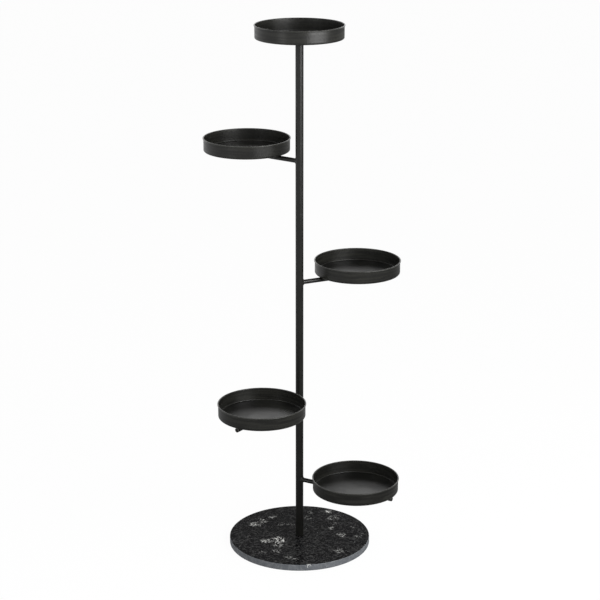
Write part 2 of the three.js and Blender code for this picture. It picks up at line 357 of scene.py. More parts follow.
def hair_veins(tree, place, cell, width):
    """Lines of this width between cells of about this size, both in mm."""
    to_edge = add(tree, CELLS, {"Vector": place, "Scale": per_mm(cell)}, feature="DISTANCE_TO_EDGE")
    line = {HIGH: width / cell, TO_LOW: 1.0, TO_HIGH: 0.0}
    return add(tree, RANGE, {"Value": to_edge, **line}, interpolation_type="SMOOTHSTEP")


def knots(tree, place):
    """The strength of each knot at its heart, falling to 0 at its radius."""
    total = None
    for x, y, radius, strength in VEIN_KNOTS:
        centre = (x * MM, y * MM, KNOT_HEIGHT * MM)
        away = add(tree, VECTOR, {0: place, 1: centre}, operation="DISTANCE").outputs["Value"]
        fading = {LOW: KNOT_HEART * radius * MM, HIGH: radius * MM, TO_LOW: strength, TO_HIGH: 0.0}
        knot = add(tree, RANGE, {"Value": away, **fading}, interpolation_type="SMOOTHSTEP")
        total = add(tree, MATH, {0: total, 1: knot}, operation="MAXIMUM") if total else knot
    return total


print("marble:", len(VEIN_KNOTS), "knots of crackle")

# %% [markdown]
# ## The two faces of the marble
# The same stone is made twice, with its own colours for the polished top and for the honed side. The
# patterns are stirred before they are drawn, as the rock was while it was soft: a wide fold, a small eddy,
# and a fray for the finest lines. In the photograph the polished top hardly mirrors its bright
# surroundings, so that its mirror is turned down almost to nothing, and its roughness stays low.

# %% Black marble
FOLD, EDDY, FRAY, KNOT_STIR = (70, 22), (16, 4), (5, 1.6), (20, 12)  # size and reach of a stir, mm
CLOUD, WISP, WISP_PATCH, FLECK, FLECK_SWARM, GRAIN = 18, 5, 30, 2.4, 26, 0.9  # mm
WISP_SHAPE = (0.45, 1.5, 1.0)  # below 1 draws the wisps out along that axis
GRAIN_HEIGHT = 0.01 * MM
# size of the cells, width of the line and length of an unbroken part in mm, the share that shows outside the
# knots, and strength
LONG_VEINS = (105, 0.9, 30, 1.0, 0.08)
CRACKLE = (13, 1.7, 9, 0.05, 1.0)
FINE_CRACKLE = (6, 1.0, 5, 0.05, 0.85)


def marble(name, ground, vein, settings):
    """ground is four hex colours: the dark stone, its clouds, its wisps and its flecks."""
    dark, cloud, wisp, fleck = ground
    material, tree, where = new_finish(name)
    flow = stirred(tree, stirred(tree, where, *FOLD), *EDDY)
    frayed = stirred(tree, flow, *FRAY)
    knot = knots(tree, stirred(tree, where, *KNOT_STIR))
    clouds = add(tree, NOISE, {"Vector": flow, "Scale": per_mm(CLOUD), "Detail": 6.0, "Roughness": 0.7})
    shade = add(tree, RANGE, {"Value": clouds, LOW: 0.42, HIGH: 0.72})
    drawn_out = add(tree, VECTOR, {0: frayed, 1: WISP_SHAPE}, operation="MULTIPLY")
    streaks = scattered(tree, drawn_out, WISP, 0.56, 0.80)
    in_places = scattered(tree, flow, WISP_PATCH, 0.44, 0.66)
    wisps = add(tree, MATH, {0: streaks, 1: in_places}, operation="MULTIPLY")
    dots = scattered(tree, frayed, FLECK, 0.66, 0.76)
    in_swarms = scattered(tree, where, FLECK_SWARM, 0.48, 0.66)
    flecks = add(tree, MATH, {0: dots, 1: in_swarms}, operation="MULTIPLY")
    layer = add(tree, MIX, {"Factor": shade, UNDER: dark, OVER: cloud}, data_type="RGBA")
    layer = add(tree, MIX, {"Factor": wisps, UNDER: layer, OVER: wisp}, data_type="RGBA")
    layer = add(tree, MIX, {"Factor": flecks, UNDER: layer, OVER: fleck}, data_type="RGBA")

    lines = None
    for veins, place in ((LONG_VEINS, flow), (CRACKLE, frayed), (FINE_CRACKLE, frayed)):
        cell, width, breaks, everywhere, strength = veins
        whole = hair_veins(tree, place, cell, width)
        parts = scattered(tree, place, breaks, 0.46, 0.62)
        broken = add(tree, MATH, {0: whole, 1: parts}, operation="MULTIPLY")
        where_strong = add(tree, MATH, {0: knot, 1: everywhere}, operation="MAXIMUM")
        held = add(tree, MATH, {0: broken, 1: where_strong}, operation="MULTIPLY")
        shown = add(tree, MATH, {0: held, 1: strength}, operation="MULTIPLY")
        lines = add(tree, MATH, {0: lines, 1: shown}, operation="MAXIMUM") if lines else shown
    colour = add(tree, MIX, {"Factor": lines, UNDER: layer, OVER: vein}, data_type="RGBA")

    smooth = settings["Roughness"]
    roughness = add(tree, RANGE, {"Value": clouds, TO_LOW: smooth - 0.03, TO_HIGH: smooth + 0.04})
    grain = add(tree, NOISE, {"Vector": where, "Scale": per_mm(GRAIN), "Detail": 2.0})
    bump = add(tree, BUMP, {"Height": grain, "Strength": 0.2, "Distance": GRAIN_HEIGHT})
    coat_with(tree, {**settings, "Base Color": colour, "Roughness": roughness, "Normal": bump})
    return material


polished_marble = marble(
    "polished_black_marble", ("#020203", "#141416", "#2c2c2e", "#909092"), "#f0f0ec",
    {"Roughness": 0.2, "IOR": 1.5, "Specular IOR Level": 0.006},
)
honed_marble = marble(
    "honed_black_marble", ("#44474b", "#55585c", "#6c6f72", "#898b8d"), "#dededb",
    {"Roughness": 0.5, "IOR": 1.5},
)
print("stone:", polished_marble.name, "and", honed_marble.name)

# %% [markdown]
# ## Finish: wool felt
# The pad under the stone is pressed wool felt, glued on. Felt has no weave: short fibres lie every way and
# scatter the light, so that it looks soft, matt and slightly lighter at grazing angles. Two noises, one of
# them stretched to the length of a fibre, make the nap, and a little sheen makes the light edge.

# %% Wool felt
FIBRE_LENGTH, TUFT = 1.6, 4  # mm
FIBRE_SHAPE = (3.0, 1.0, 3.0)  # three times as long as wide
NAP_HEIGHT = 0.3 * MM


def felt_finish():
    material, tree, where = new_finish("black_wool_felt")
    stretched = add(tree, VECTOR, {0: where, 1: FIBRE_SHAPE}, operation="MULTIPLY")
    fibres = add(tree, NOISE, {"Vector": stretched, "Scale": per_mm(FIBRE_LENGTH), "Detail": 4.0})
    tufts = add(tree, NOISE, {"Vector": where, "Scale": per_mm(TUFT), "Detail": 4.0})
    nap = add(tree, MATH, {0: fibres, 1: tufts}, operation="MULTIPLY")
    shade = add(tree, RANGE, {"Value": nap, LOW: 0.1, HIGH: 0.45})
    colour = add(tree, MIX, {"Factor": shade, UNDER: "#131314", OVER: "#303033"}, data_type="RGBA")
    roughness = add(tree, RANGE, {"Value": nap, LOW: 0.1, HIGH: 0.45, TO_LOW: 0.92, TO_HIGH: 1.0})
    fuzz = add(tree, BUMP, {"Height": nap, "Strength": 0.9, "Distance": NAP_HEIGHT})
    sheen = {"Sheen Weight": 0.25, "Sheen Roughness": 0.6}
    coat_with(tree, {"Base Color": colour, "Roughness": roughness, "Normal": fuzz, **sheen})
    return material


black_felt = felt_finish()
print("felt:", black_felt.name)

# %% [markdown]
# ## Finish: zinc plate
# The bolts, washers, studs and plugs are steel with a thin coat of zinc. It is a dull, slightly blue metal
# with cloudy crystals, and it rubs bright on the edges. Cells make the crystals, and noise makes the haze
# on them.

# %% Zinc plate
CRYSTAL, HAZE = 1.2, 5  # mm
CRYSTAL_HEIGHT = 0.02 * MM
EDGE_SHOWN = 0.6  # how much of the rubbed colour shows on a sharp edge


def zinc():
    material, tree, where = new_finish("blue_zinc_plate")
    crystals = add(tree, CELLS, {"Vector": where, "Scale": per_mm(CRYSTAL)}).outputs["Distance"]
    haze = add(tree, NOISE, {"Vector": where, "Scale": per_mm(HAZE), "Detail": 5.0})
    wear = add(tree, ATTRIBUTE, attribute_name="edge_wear").outputs["Fac"]
    rubbed = add(tree, MATH, {0: wear, 1: EDGE_SHOWN}, operation="MULTIPLY")
    plate = add(tree, MIX, {"Factor": haze, UNDER: "#9a9fa8", OVER: "#c3c6ca"}, data_type="RGBA")
    colour = add(tree, MIX, {"Factor": rubbed, UNDER: plate, OVER: "#dcdedf"}, data_type="RGBA")
    roughness = add(tree, RANGE, {"Value": haze, LOW: 0.3, HIGH: 0.7, TO_LOW: 0.30, TO_HIGH: 0.46})
    bump = add(tree, BUMP, {"Height": crystals, "Strength": 0.25, "Distance": CRYSTAL_HEIGHT})
    coat_with(tree, {"Base Color": colour, "Roughness": roughness, "Normal": bump, "Metallic": 1.0})
    return material


zinc_plate = zinc()
print("metal:", zinc_plate.name)

# %% [markdown]
# ## The marble base
# A disc is sawn from a slab, and its top edge is eased with a hand pad. Under it a shallow recess takes the
# head of the bolt. The whole section is one closed outline turned about the axis. Rings close to the edges
# keep the large flat faces shading flat.

# %% Marble base
STONE_STEPS = 256
BOLT_HOLE, RECESS, RECESS_DEPTH = 4.5, 13.5, 7.0  # two radii and a depth, mm
ARRIS, TOE = 1.5, 1.0  # radii of the eased edges at the top and at the foot, mm
EDGE_RING = 3  # mm from an outer edge to the ring that keeps its face flat in the light


def stone_base():
    low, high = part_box("stone_base")
    foot, top, edge = low.z / MM, high.z / MM, BASE_RADIUS / MM
    ceiling, ring = foot + RECESS_DEPTH, edge - EDGE_RING
    bm = bmesh.new()
    corners = [
        (BOLT_HOLE, ceiling), (RECESS, ceiling), (RECESS, foot), (RECESS + 1, foot), (ring, foot),
        (edge, foot), (edge, foot + EDGE_RING), (edge, top - EDGE_RING), (edge, top), (ring, top),
        (BOLT_HOLE + 1, top), (BOLT_HOLE, top),
    ]
    verts = outline(bm, corners, closed=True)
    toe, arris = verts[5], verts[8]
    round_corner(bm, arris, ARRIS, 6)
    round_corner(bm, toe, TOE, 3)
    spin_round(bm, STONE_STEPS)
    for face in bm.faces:
        middle = face.calc_center_median()
        on_top = face.normal.z > 0.9 and middle.z > (top - 0.5) * MM
        face.material_index = 0 if on_top else 1
    finished(bm, "marble_base", [polished_marble, honed_marble], "stone_base")


stone_base()

# %% [markdown]
# ## The felt pad
# The pad is die-cut a few millimetres smaller than the stone, so that it doesn't show from above. Its edge
# is left soft and slightly uneven: a wave that doesn't repeat draws it in by a tenth of a millimetre or
# two.

# %% Felt pad
FELT_STEPS = 240
FELT_ROUND, FELT_RING = 0.3, 4  # mm, the radius of its soft edges, and how far inside them a ring lies
UNEVEN = 0.0006  # of the radius
WAVES, WAVE_X, WAVE_Y = 240, 3.1, 2.3  # chosen so that no wave is like the next


def felt_pad():
    low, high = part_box("floor_pad")
    edge, thick = radius_of("floor_pad") / MM, (high.z - low.z) / MM
    bm = bmesh.new()
    ring = edge - FELT_RING
    verts = outline(bm, [(0, 0), (ring, 0), (edge, 0), (edge, thick), (ring, thick), (0, thick)])
    round_corner(bm, verts[2], FELT_ROUND, 3)
    round_corner(bm, verts[3], FELT_ROUND, 3)
    spin_round(bm, FELT_STEPS)
    for vert in bm.verts:
        reach = hypot(vert.co.x, vert.co.y)
        if reach > (edge - 1) * MM:
            turn = WAVES * (vert.co.x / reach * WAVE_X + vert.co.y / reach * WAVE_Y)
            shrink = 1 - UNEVEN * (1 + sin(turn))
            vert.co.x *= shrink
            vert.co.y *= shrink
    pad = finished(bm, "felt_pad", [black_felt], "floor_pad")


felt_pad()

# %% [markdown]
# ## The pole
# The pole is three lengths of steel tube, 19 mm outside with a wall of 1.5 mm, screwed together end to end.
# The cut ends are deburred, and the paint closes most of the joint, so that only a hairline is left. A ring
# close to each end keeps the long wall between them straight in the light, as it is in the metal. The ends
# are covered by their neighbours, so that hardly any wear gets at them.

# %% Pole sections
POLE_STEPS = 96
DEBURRED, END_RING = 0.15, 1  # mm
END_WEAR = 0.08


def pole_section(node):
    low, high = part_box(node)
    foot, top = low.z / MM, high.z / MM
    outside, inside = POLE_RADIUS / MM, (POLE_RADIUS - POLE_WALL) / MM
    bm = bmesh.new()
    corners = [
        (inside, foot), (outside, foot), (outside, foot + END_RING), (outside, top - END_RING),
        (outside, top), (inside, top),
    ]
    verts = outline(bm, corners, closed=True)
    for end in (verts[1], verts[4]):
        round_corner(bm, end, DEBURRED, 2)
    spin_round(bm, POLE_STEPS)
    name = node.replace("pole_section", "pole_tube")
    finished(bm, name, [black_paint], node, most_wear=END_WEAR)


for number in (1, 2, 3):
    pole_section(f"pole_section_{number}")

# %% [markdown]
# ## The pans
# A pan is pressed from 1.2 mm sheet: a flat floor, a tight round corner, an upright wall, and a rim rolled
# outwards into a bead. The rolled edge ends against the wall and leaves a fine groove under the bead. Here
# the wire walks the section once round: under the floor, up the outside, round the bead and down the
# inside. The top pan has a hole for its bolt, and the wire is closed along the wall of the hole.

# %% Pans
PAN_STEPS, BEAD_STEPS = 192, 20
OUTER_CORNER, INNER_CORNER = 3.0, 1.8  # radii between floor and wall, mm
GROOVE_DEPTH, LIP_DEPTH, GROOVE_WIDTH = 0.5, 0.45, 0.2  # mm, between the wall and the rolled edge
RING_UNDER, RING_ABOVE, RING_FLOOR, RING_WALL = 8, 6, 7, 5  # mm from the corner, under, outside and inside
TOP_PAN_HOLE = 4.5  # mm


def shift(bm, x, y, z, verts=None):
    """Moves these vertices, or the whole bmesh."""
    bmesh.ops.translate(bm, verts=verts or bm.verts[:], vec=(x, y, z))


def pan(node, name, hole):
    low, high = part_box(node)
    middle = (low + high) / 2
    rim, sheet, curl = radius_of(node) / MM, PAN_SHEET / MM, CURL_RADIUS / MM
    inside = rim - 2 * curl
    outside, height = inside + sheet, PAN_HEIGHT / MM
    bead_middle, bead_height = inside + curl, height - curl
    roof = bead_height - curl
    bm = bmesh.new()
    corners = [(hole, 0), (outside - RING_UNDER, 0), (outside, 0), (outside, RING_ABOVE), (outside, roof)]
    start = outline(bm, corners)
    groove = line_from(bm, start[-1], outside, roof + GROOVE_DEPTH)
    lip = line_from(bm, groove, outside + GROOVE_WIDTH, roof + LIP_DEPTH)
    under = line_from(bm, lip, bead_middle, roof)
    crest = arc_from(bm, under, (bead_middle, bead_height), 270, BEAD_STEPS)
    inner_wall = line_from(bm, crest, inside, RING_WALL)
    inner_corner = line_from(bm, inner_wall, inside, sheet)
    floor_ring = line_from(bm, inner_corner, inside - RING_FLOOR, sheet)
    last = line_from(bm, floor_ring, hole, sheet)
    if hole > 0:
        bm.edges.new((last, start[0]))
    round_corner(bm, start[2], OUTER_CORNER, 6)
    round_corner(bm, inner_corner, INNER_CORNER, 5)
    spin_round(bm, PAN_STEPS)
    shift(bm, middle.x, middle.y, low.z)
    finished(bm, name, [pan_paint], node)


for number in (1, 2, 3, 4, 5):
    pan(f"tray_tier_{number}", f"pan_tier_{number}", TOP_PAN_HOLE if number == 5 else 0)

# %% [markdown]
# ## A rod
# Each rod is 11 mm bar, cut to the pole's round at one end and left with a rounded tip at the other. The
# bar is turned upright, as every round piece here is, and then laid along X. Its foot is moved out onto the
# pole's face, vertex by vertex, which is what a saw with a round cut does.

# %% Rod
ROD_STEPS = 48
BEAD_GAP = 0.05  # mm between a weld and what it is laid on
BAR_STARTS = 14  # mm from the pole's axis, where the bar is round again
TIP_RING, TIP_ROUND = 4, 1.2  # mm


def swing(bm, angle, axis, verts=None):
    """Turns these vertices, or the whole bmesh, about an axis through the origin."""
    turn = Matrix.Rotation(angle, 3, axis)
    bmesh.ops.rotate(bm, verts=verts or bm.verts[:], cent=(0, 0, 0), matrix=turn)


def onto_pole(y):
    """How far out the pole's face lies at this distance to the side."""
    reach = POLE_RADIUS + BEAD_GAP * MM
    return sqrt(max(reach * reach - y * y, 0.0))


def rod_bar(tip):
    """The bar along X, from the pole's face to the rounded tip."""
    bm = bmesh.new()
    radius = ROD_RADIUS / MM
    corners = [(0, 0), (radius, 0), (radius, BAR_STARTS), (radius, tip - TIP_RING), (radius, tip), (0, tip)]
    verts = outline(bm, corners)
    round_corner(bm, verts[4], TIP_ROUND, 5)
    spin_round(bm, ROD_STEPS)
    swing(bm, pi / 2, "Y")
    for vert in bm.verts:
        if vert.co.x < 1e-6:
            vert.co.x = onto_pole(vert.co.y)
    return bm


# %% [markdown]
# ## The weld on the pole
# A weld runs all the way round the cut. It is laid in overlapping drops, which leave a row of ripples, so
# the bead swells and narrows along its length. Here it starts as a ring with a round section, which is
# pressed onto the pole as the foot of the bar is, and swollen by a sine wave for each drop and a slow one
# for the hand.

# %% Weld on the pole
RIPPLE = 1.7  # mm from drop to drop
WELD_DROPS = round(2 * pi * ROD_RADIUS / MM / RIPPLE)
RING_BEAD = 1.7 * MM  # radius of the weld's section
RING_STEPS, SECTION_STEPS = 96, 14
PROUD = 0.3  # how far the section's middle lies outside the rod, in its own radii
DROP_SWELL, HAND_SWELL = 0.09, 0.04


def edges_among(bm, verts):
    """The edges with both ends among these vertices."""
    return [e for e in bm.edges if e.verts[0] in verts and e.verts[1] in verts]


def weld_ring(bm):
    """The bead round the rod, lying on the pole."""
    before = set(bm.verts)
    section = bmesh.ops.create_circle(bm, segments=SECTION_STEPS, radius=RING_BEAD)["verts"]
    swing(bm, pi / 2, "X", section)
    shift(bm, 0, 0, ROD_RADIUS + PROUD * RING_BEAD, section)
    bmesh.ops.spin(
        bm, geom=section + edges_among(bm, section), cent=(0, 0, 0), axis=(1, 0, 0), angle=2 * pi,
        steps=RING_STEPS, use_merge=True,
    )
    for vert in set(bm.verts) - before:
        x, y, z = vert.co
        out = hypot(y, z)
        angle = Vector((y, z)).angle_signed(Vector((1, 0)), 0.0)
        swell = 1 + DROP_SWELL * abs(sin(WELD_DROPS / 2 * angle)) + HAND_SWELL * sin(3 * angle + 1)
        across = ROD_RADIUS + (out - ROD_RADIUS) * swell
        vert.co.y, vert.co.z = y / out * across, z / out * across
        vert.co.x = max(x * swell, 0.0) + onto_pole(vert.co.y)


print("weld on the pole:", WELD_DROPS, "drops")

# %% [markdown]
# ## The beads under a pan
# Four short beads between the rod and the pan's floor hold the pan. Each is a small rippled spindle with
# domed ends, turned by itself, laid along the rod and cut off flat where it meets the floor. One bmesh
# can't take in another, so that a bead passes through a mesh that is removed again.

# %% Beads under a pan
PAN_BEAD, PAN_BEAD_LENGTH, PAN_BEAD_STEPS = 2.0, 22, 16  # radius and length in mm, and steps round it
PAN_BEAD_CUTS = 39
BEAD_SWELL = 0.1
SUNK, OUT = 0.6, 0.25  # how far it sits below the rod's crest and outside the rod, in its own radii
NARROWEST = 0.02


def take_in(bm, other):
    """Adds the other bmesh to bm and frees it."""
    passing = bpy.data.meshes.new("passing")
    other.to_mesh(passing)
    other.free()
    bm.from_mesh(passing)
    bpy.data.meshes.remove(passing)


def weld_bead(bm, along, side, ceiling):
    """A short bead at this place along the rod, on its side -1 or 1, no higher than the ceiling."""
    radius, length = PAN_BEAD * MM, PAN_BEAD_LENGTH * MM
    small = bmesh.new()
    corners = [(0, 0), (PAN_BEAD, 0), (PAN_BEAD, PAN_BEAD_LENGTH), (0, PAN_BEAD_LENGTH)]
    verts = outline(small, corners)
    bmesh.ops.subdivide_edges(small, edges=edges_among(small, verts[1:3]), cuts=PAN_BEAD_CUTS)
    for vert in [v for v in small.verts if abs(v.co.x - radius) < 1e-9]:
        end = min(vert.co.z, length - vert.co.z) / radius
        dome = sqrt(max(1 - (1 - min(end, 1.0)) ** 2, NARROWEST))
        vert.co.x *= dome * (1 + BEAD_SWELL * abs(sin(pi * vert.co.z / (RIPPLE * MM))))
    spin_round(small, PAN_BEAD_STEPS)
    swing(small, pi / 2, "Y")
    drop = ROD_RADIUS - SUNK * radius
    across = sqrt((ROD_RADIUS + OUT * radius) ** 2 - drop * drop)
    shift(small, along - length / 2, side * across, drop)
    for vert in small.verts:
        vert.co.z = min(vert.co.z, ceiling)
    take_in(bm, small)


# %% [markdown]
# ## The rods in their places
# A finished rod is built along X at height 0, then lifted under its pan and swung to its direction. A gap
# of 0.3 mm stays between the bar and the pan, as in the CAD model, and the beads close it.

# %% Rods
PAN_GAP = 0.3  # mm between a rod and its pan
TIP_INSIDE = 6  # mm from the tip to the pan's rim
BEADS_FROM_MIDDLE = 58 * MM


def rod(number):
    node = f"arm_tier_{number}"
    pan_low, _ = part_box(f"tray_tier_{number}")
    bm = rod_bar((ROD_REACH + PAN_RADIUS) / MM - TIP_INSIDE)
    weld_ring(bm)
    underside = ROD_RADIUS + (PAN_GAP - BEAD_GAP) * MM
    for side in (-1, 1):
        for along in (ROD_REACH - BEADS_FROM_MIDDLE, ROD_REACH + BEADS_FROM_MIDDLE):
            weld_bead(bm, along, side, underside)
    bmesh.ops.recalc_face_normals(bm, faces=bm.faces[:])
    lift = Matrix.Translation((0, 0, pan_low.z - PAN_GAP * MM - ROD_RADIUS))
    turn = Matrix.Rotation(radians(TIER_AZIMUTHS[number]), 4, "Z")
    bmesh.ops.transform(bm, verts=bm.verts[:], matrix=lift @ turn)
    finished(bm, f"rod_tier_{number}", [black_paint], node)


for number in TIER_AZIMUTHS:
    rod(number)

# %% [markdown]
# ## Threads
# The stand screws together with M8 threads, which have a pitch of 1.25 mm. A thread is one small tooth,
# spun round the axis while it climbs by one pitch. That one turn is copied upwards, a little further than
# needed, and cut off flat at both ends. Every thread starts its climb from the same height, so that a
# stud's teeth lie in its plug's grooves.

# %% Threads
PITCH = 1.25  # mm
THREAD_STEPS = 32  # for one turn
MAJOR, MINOR = 4.0, 3.32  # radii of the outside thread, mm
ROOT_ENDS, CREST_STARTS, CREST_ENDS = 0.31, 0.7, 0.86  # heights on the tooth, mm
FREE_PLAY = 0.15  # mm between the teeth of a stud and its plug
END_TAPER = 0.86
TURNS_MEET = 2e-6  # metres: the ends of two turns that are nearer than this are one


def spun_thread(bm, bottom, top, extra):
    """A climbing tooth between two heights in mm, with open flat ends."""
    turns = int((top - bottom) / PITCH) + 3
    start = (int(bottom / PITCH) - 1) * PITCH
    low, high = MINOR + extra, MAJOR + extra
    tooth = [(low, 0), (low, ROOT_ENDS), (high, CREST_STARTS), (high, CREST_ENDS), (low, PITCH)]
    verts = outline(bm, [(r, h + start) for r, h in tooth])
    bmesh.ops.spin(
        bm, geom=verts + bm.edges[:], cent=(0, 0, 0), axis=(0, 0, 1), dvec=(0, 0, PITCH * MM / THREAD_STEPS),
        angle=2 * pi, steps=THREAD_STEPS,
    )
    one_turn = bm.verts[:] + bm.edges[:] + bm.faces[:]
    for turn in range(1, turns):
        copied = bmesh.ops.duplicate(bm, geom=one_turn)["geom"]
        shift(bm, 0, 0, turn * PITCH * MM, [v for v in copied if isinstance(v, bmesh.types.BMVert)])
    bmesh.ops.remove_doubles(bm, verts=bm.verts[:], dist=TURNS_MEET)
    for height, up in ((bottom, -1), (top, 1)):
        bmesh.ops.bisect_plane(
            bm, geom=bm.verts[:] + bm.edges[:] + bm.faces[:], dist=SAME_PLACE,
            plane_co=(0, 0, height * MM), plane_no=(0, 0, up), clear_outer=True,
        )


def open_edges(bm, height):
    """The edges of the hole at this height in mm."""
    return [
        e for e in bm.edges
        if len(e.link_faces) == 1 and all(abs(v.co.z - height * MM) < 1e-6 for v in e.verts)
    ]


def threaded_shank(bm, bottom, top):
    """A closed threaded bar, its ends a little narrowed."""
    spun_thread(bm, bottom, top, 0.0)
    for height in (bottom, top):
        ring = open_edges(bm, height)
        ends = {v for e in ring for v in e.verts}
        bmesh.ops.scale(bm, vec=(END_TAPER, END_TAPER, 1), verts=list(ends))
        bmesh.ops.contextual_create(bm, geom=ring)
    bmesh.ops.recalc_face_normals(bm, faces=bm.faces[:])


def small_metal(bm, name, node):
    """A finished piece of zinc-plated steel, with sharper edges than the larger pieces have."""
    finished(bm, name, [zinc_plate], node, smooth_under=30)


def stud(node):
    low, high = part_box(node)
    bm = bmesh.new()
    threaded_shank(bm, low.z / MM, high.z / MM)
    small_metal(bm, node.replace("stud", "threaded_stud"), node)


for number in (1, 2):
    stud(f"joint_{number}_stud")

# %% [markdown]
# ## Plugs in the tube
# A plug is a slug of steel pressed into the end of a tube and bored for the stud. Its outside is a short
# turned sleeve. The bore is the same climbing tooth as the stud's, moved out by the play between the two,
# and the flat ends bridge the two.

# %% Plugs
PLUG_STEPS = 64
CHAMFER = 0.5  # mm


def plug(node):
    low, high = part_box(node)
    bottom, top, radius = low.z / MM, high.z / MM, radius_of(node) / MM
    narrow = radius - CHAMFER
    bm = bmesh.new()
    spun_thread(bm, bottom, top, FREE_PLAY)
    inner = [open_edges(bm, bottom), open_edges(bm, top)]
    sleeve = bmesh.ops.create_circle(bm, segments=PLUG_STEPS, radius=narrow * MM)["verts"]
    shift(bm, 0, 0, bottom * MM, sleeve)
    ring = edges_among(bm, sleeve)
    lower = ring
    for reach, height in ((radius, bottom + CHAMFER), (radius, top - CHAMFER), (narrow, top)):
        grown = bmesh.ops.extrude_edge_only(bm, edges=ring)["geom"]
        ring = [e for e in grown if isinstance(e, bmesh.types.BMEdge)]
        for vert in {v for e in ring for v in e.verts}:
            out = hypot(vert.co.x, vert.co.y)
            vert.co.x *= reach * MM / out
            vert.co.y *= reach * MM / out
            vert.co.z = height * MM
    bmesh.ops.bridge_loops(bm, edges=lower + inner[0])
    bmesh.ops.bridge_loops(bm, edges=ring + inner[1])
    bmesh.ops.recalc_face_normals(bm, faces=bm.faces[:])
    small_metal(bm, node + "_bored", node)


PLUGS = (
    "foot_plug", "joint_1_plug_below", "joint_1_plug_above", "joint_2_plug_below", "joint_2_plug_above",
    "top_plug",
)
for node in PLUGS:
    plug(node)

# %% [markdown]
# ## Bolts
# Both bolts have a thin flat head with a hexagon socket. The hexagon is a circle of six corners, each side
# cut into eight, so that it bridges cleanly to the round edge of the head.

# %% Bolts
HEAD_RADIUS, HEAD_HEIGHT = 8.5, 2.5  # mm
SOCKET_ACROSS, SOCKET_DEPTH = 5.0, 1.8  # mm
HEAD_STEPS = 48
HEAD_ROUND, UNDER_ROUND = 0.75, 0.2  # radii at the face of the head and under it, mm
OVERLAP = 0.2  # mm of the shank inside the head


def bolt_head():
    """A head with its face down at height 0 and its underside at the height of the head."""
    bm = bmesh.new()
    corners = [(HEAD_RADIUS - 2, 0), (HEAD_RADIUS, 0), (HEAD_RADIUS, HEAD_HEIGHT), (0, HEAD_HEIGHT)]
    verts = outline(bm, corners)
    round_corner(bm, verts[1], HEAD_ROUND, 4)
    round_corner(bm, verts[2], UNDER_ROUND, 2)
    spin_round(bm, HEAD_STEPS)
    rim = open_edges(bm, 0)
    corner = SOCKET_ACROSS / 2 / cos(pi / 6)
    hexagon = bmesh.ops.create_circle(bm, segments=6, radius=corner * MM)["verts"]
    bmesh.ops.subdivide_edges(bm, edges=edges_among(bm, hexagon), cuts=HEAD_STEPS // 6 - 1)
    mouth = [e for e in bm.edges if not e.link_faces]
    bmesh.ops.bridge_loops(bm, edges=rim + mouth)
    walls = bmesh.ops.extrude_edge_only(bm, edges=mouth)["geom"]
    floor = [e for e in walls if isinstance(e, bmesh.types.BMEdge)]
    for vert in {v for e in floor for v in e.verts}:
        vert.co.z = SOCKET_DEPTH * MM
    bmesh.ops.contextual_create(bm, geom=floor)
    bmesh.ops.recalc_face_normals(bm, faces=bm.faces[:])
    return bm


def bolt(node, name, head_up):
    low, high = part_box(node)
    bottom, top = low.z / MM, high.z / MM
    bm = bolt_head()
    if head_up:
        swing(bm, pi, "X")
        shift(bm, 0, 0, top * MM)
        shank = (bottom, top - HEAD_HEIGHT + OVERLAP)
    else:
        shift(bm, 0, 0, bottom * MM)
        shank = (bottom + HEAD_HEIGHT - OVERLAP, top)
    screw = bmesh.new()
    threaded_shank(screw, *shank)
    take_in(bm, screw)
    small_metal(bm, name, node)


bolt("base_bolt", "base_bolt_threaded", False)
bolt("top_tray_bolt", "top_pan_bolt", True)

# %% [markdown]
# ## Washers
# The flat washer is punched from sheet, a ring with slightly rounded edges. The spring washer is a ring
# with a slot, squeezed flat as it is when the bolt is tight: its spin stops short of a full turn, and its
# ends are filled.

# %% Washers
WASHER_STEPS, SLOT_STEPS = 64, 60
WASHER_ROUND = 0.2  # mm
FLAT_HOLE, SPRING_HOLE, SLOT_WIDTH = 4.5, 4.3, 1.2  # two radii and a width, mm


def ring_washer(node, name, inner, slot_width):
    """inner is the radius of the hole, and a slot_width of 0 makes a closed ring, both in mm."""
    low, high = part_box(node)
    bottom, top, outer = low.z / MM, high.z / MM, (high.y - low.y) / 2 / MM
    bm = bmesh.new()
    verts = outline(bm, [(inner, bottom), (outer, bottom), (outer, top), (inner, top)], closed=True)
    for vert in verts:
        round_corner(bm, vert, WASHER_ROUND, 2)
    if slot_width == 0:
        spin_round(bm, WASHER_STEPS)
    else:
        gap = slot_width / outer
        swing(bm, gap / 2, "Z")
        bmesh.ops.spin(
            bm, geom=bm.verts[:] + bm.edges[:], cent=(0, 0, 0), axis=(0, 0, 1), angle=2 * pi - gap,
            steps=SLOT_STEPS,
        )
        ends = [e for e in bm.edges if len(e.link_faces) == 1]
        bmesh.ops.holes_fill(bm, edges=ends, sides=0)
        bmesh.ops.recalc_face_normals(bm, faces=bm.faces[:])
    small_metal(bm, name, node)


ring_washer("base_washer", "flat_washer", FLAT_HOLE, 0)
ring_washer("base_spring_washer", "spring_washer", SPRING_HOLE, SLOT_WIDTH)

# %% [markdown]
# ## The studio
# The background is plain white. The camera looks down all over the picture, so that the only thing behind
# the stand is the floor: a large white sheet. For the camera it is nearly all glow, which keeps it even,
# and the rest is plain white paper, which keeps the stand's soft shadow. In mirrors it glows too, but less
# close to the stand and to the right, because the photographed pans show a darker floor there.

# %% Floor
FLOOR_REACH = 40.0  # metres from the middle to each side
FLOOR_DROP = 0.2 * MM  # below the felt, so that the two don't fight for one place
GLOW_SHARE = 0.96
GLOW_OUTWARDS = {LOW: 0.3, HIGH: 3.2, TO_LOW: 0.25, TO_HIGH: 1.0}  # metres from the pole, and strength
GLOW_TO_RIGHT = {LOW: 0.3, HIGH: 1.6, TO_LOW: 1.0, TO_HIGH: 0.35}  # metres along X, and strength


